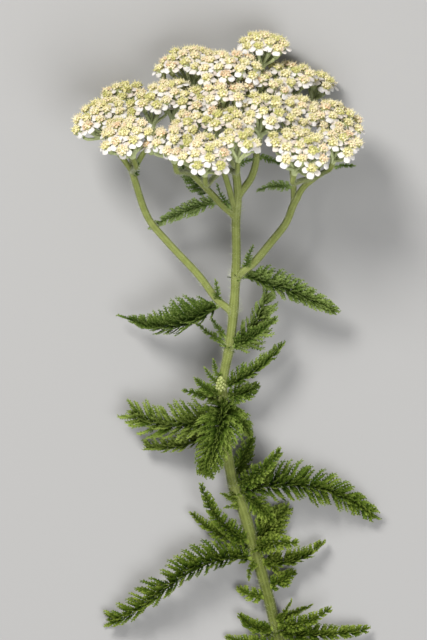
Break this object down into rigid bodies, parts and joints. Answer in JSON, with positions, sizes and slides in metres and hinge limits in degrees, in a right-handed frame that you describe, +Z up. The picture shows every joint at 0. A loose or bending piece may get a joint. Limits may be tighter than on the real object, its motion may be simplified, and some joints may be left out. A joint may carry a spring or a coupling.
{
  "type": "cut yarrow flowering stem",
  "caption": "Cut yarrow stem lying on its side: branched green stem, feathery leaves and a broad flat head of small cream-white flowers.",
  "frame": {"origin": "middle of the plant's bounding box, on the surface that it lies on", "axes": "+Y along the stem towards the flower head, +Z up from the surface"},
  "size_m": [0.0854, 0.1804, 0.057],
  "materials": {
    "stem": "satin, finely ribbed and downy",
    "leaf": "matte, softly hairy",
    "flower": "matte, petal-soft"
  },
  "bodies": {
    "root": {"stem": "stem", "leaf_foot_right": "leaf", "leaf_foot_right_upper": "leaf", "leaf_foot_right_narrow": "leaf", "leaf_foot_up": "leaf", "leaf_foot_left": "leaf", "leaf_foot_left_low": "leaf", "leaf_foot_right_low": "leaf", "leaf_low_left_long": "leaf", "leaf_low_left_up": "leaf", "leaf_low_left_side": "leaf", "leaf_low_right": "leaf", "leaf_low_right_short": "leaf", "leaf_low_left_short": "leaf", "leaf_low_right_back": "leaf", "leaf_low_right_front": "leaf", "leaf_mid_right_long": "leaf", "leaf_mid_right_up": "leaf", "leaf_mid_right_inner": "leaf", "leaf_mid_right_low": "leaf", "leaf_whorl_right_up": "leaf", "leaf_whorl_right_side": "leaf", "leaf_whorl_left_up": "leaf", "leaf_whorl_left_side": "leaf", "leaf_whorl_front": "leaf", "leaf_whorl_left_wide": "leaf", "leaf_whorl_left_low": "leaf", "leaf_whorl_right_low": "leaf", "leaf_upper_right_fan": "leaf", "leaf_upper_right_side": "leaf", "leaf_upper_left_low": "leaf", "leaf_upper_left_high": "leaf", "leaf_branch_left": "leaf", "leaf_branch_right": "leaf", "leaf_top_left": "leaf", "leaf_top_left_back": "leaf", "leaf_top_right": "leaf", "flowers_top": "flower", "flowers_topLeft": "flower", "flowers_crown": "flower", "flowers_crownRight": "flower", "flowers_rightBack": "flower", "flowers_rightEdge": "flower", "flowers_rightOuter": "flower", "flowers_rightLow": "flower", "flowers_rightMiddle": "flower", "flowers_rightFront": "flower", "flowers_middleRight": "flower", "flowers_middle": "flower", "flowers_middleLeft": "flower", "flowers_leftInner": "flower", "flowers_frontLeft": "flower", "flowers_frontMiddle": "flower", "flowers_frontCorner": "flower", "flowers_front": "flower", "flowers_frontRight": "flower", "flowers_leftBack": "flower", "flowers_leftOuter": "flower", "flowers_leftMiddle": "flower", "flowers_leftFront": "flower"}
  },
  "joints": []
}
